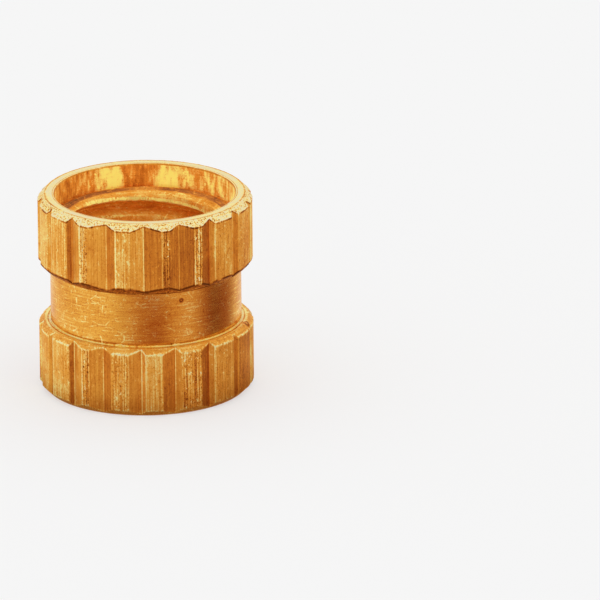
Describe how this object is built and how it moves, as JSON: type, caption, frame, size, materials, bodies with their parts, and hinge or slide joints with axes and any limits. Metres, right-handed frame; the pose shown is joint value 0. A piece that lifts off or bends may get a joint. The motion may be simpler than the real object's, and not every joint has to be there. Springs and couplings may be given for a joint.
{
  "type": "threaded insert",
  "caption": "Short brass insert with a screw thread in its bore and straight knurled bands at both ends, which grip the plastic boss that it is set into.",
  "frame": {"origin": "centre of the bore at the end face that the insert stands on", "axes": "+Z along the bore from the standing end to the other end; -Y faces the picture's camera"},
  "size_m": [0.0064, 0.0064, 0.006],
  "materials": {
    "turned_brass": "turned and knurled, bare"
  },
  "bodies": {
    "root": {"insert_body": "turned_brass"}
  },
  "joints": []
}
